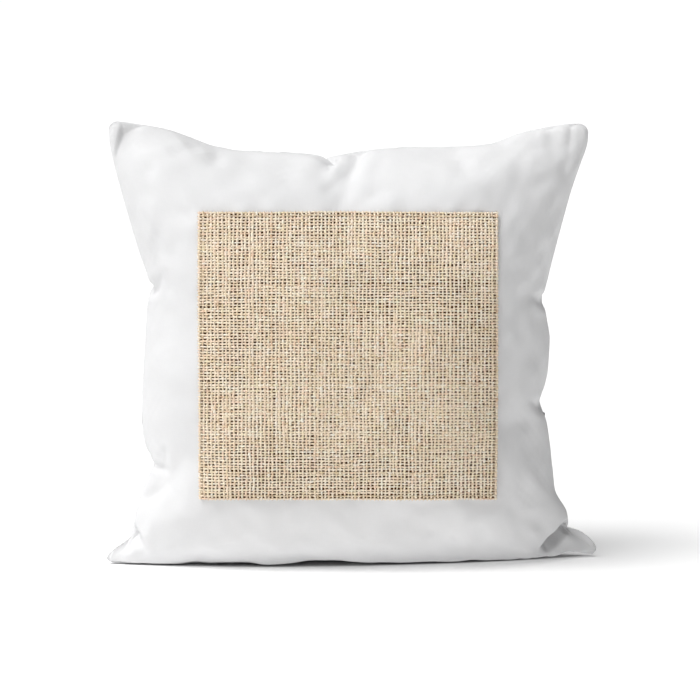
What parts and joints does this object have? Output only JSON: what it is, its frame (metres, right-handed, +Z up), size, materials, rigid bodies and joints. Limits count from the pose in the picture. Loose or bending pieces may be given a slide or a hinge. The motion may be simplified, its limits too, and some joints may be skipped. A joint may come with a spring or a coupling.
{
  "type": "ring bearer pillow",
  "caption": "Square white wedding ring pillow with a burlap patch on its front, standing on its lower edge, with a zipped removable cover and a fibre-filled insert.",
  "frame": {"origin": "middle of the footprint, on the floor that the pillow stands on", "axes": "+X to the right seen from the front, along the width; -Y out of the front face with the patch; +Z up"},
  "size_m": [0.246, 0.1073, 0.2235],
  "materials": {
    "cover_cloth": "matte",
    "burlap": "matte",
    "brown_backing": "matte",
    "jute_thread": "matte",
    "white_thread": "matte",
    "insert_cloth": "matte",
    "polyester_fibre": "matte",
    "zip_tape": "matte",
    "zip_coil": "satin",
    "zip_metal": "satin"
  },
  "bodies": {
    "cover": {"cover_front_panel": "cover_cloth", "cover_back_upper_panel": "cover_cloth", "cover_back_lower_panel": "cover_cloth", "burlap_patch": "burlap", "burlap_backing": "brown_backing", "patch_stitching": "jute_thread", "cover_seam_thread": "white_thread", "zip_tape_upper": "zip_tape", "zip_tape_lower": "zip_tape", "zip_coil_upper": "zip_coil", "zip_coil_lower": "zip_coil", "zip_top_stop_upper": "zip_metal", "zip_top_stop_lower": "zip_metal", "zip_bottom_stop": "zip_metal", "zip_stitching_upper": "white_thread", "zip_stitching_lower": "white_thread", "zip_bar_tack_left": "white_thread", "zip_bar_tack_right": "white_thread", "insert_front_shell": "insert_cloth", "insert_back_shell": "insert_cloth", "insert_seam_thread": "white_thread", "fibre_filling": "polyester_fibre"},
    "slider": {"zip_slider": "zip_metal"},
    "pull": {"zip_pull_tab": "zip_metal"}
  },
  "joints": [
    {"name": "slider_slide", "type": "slide", "parent": "cover", "child": "slider", "axis": [-1, 0, 0], "range_m": [0, 0.135]},
    {"name": "pull_hinge", "type": "hinge", "parent": "slider", "child": "pull", "pos_m": [0.0682, 0.04977, 0.072], "axis": [0, 0, -1], "range_deg": [0, 170]}
  ]
}
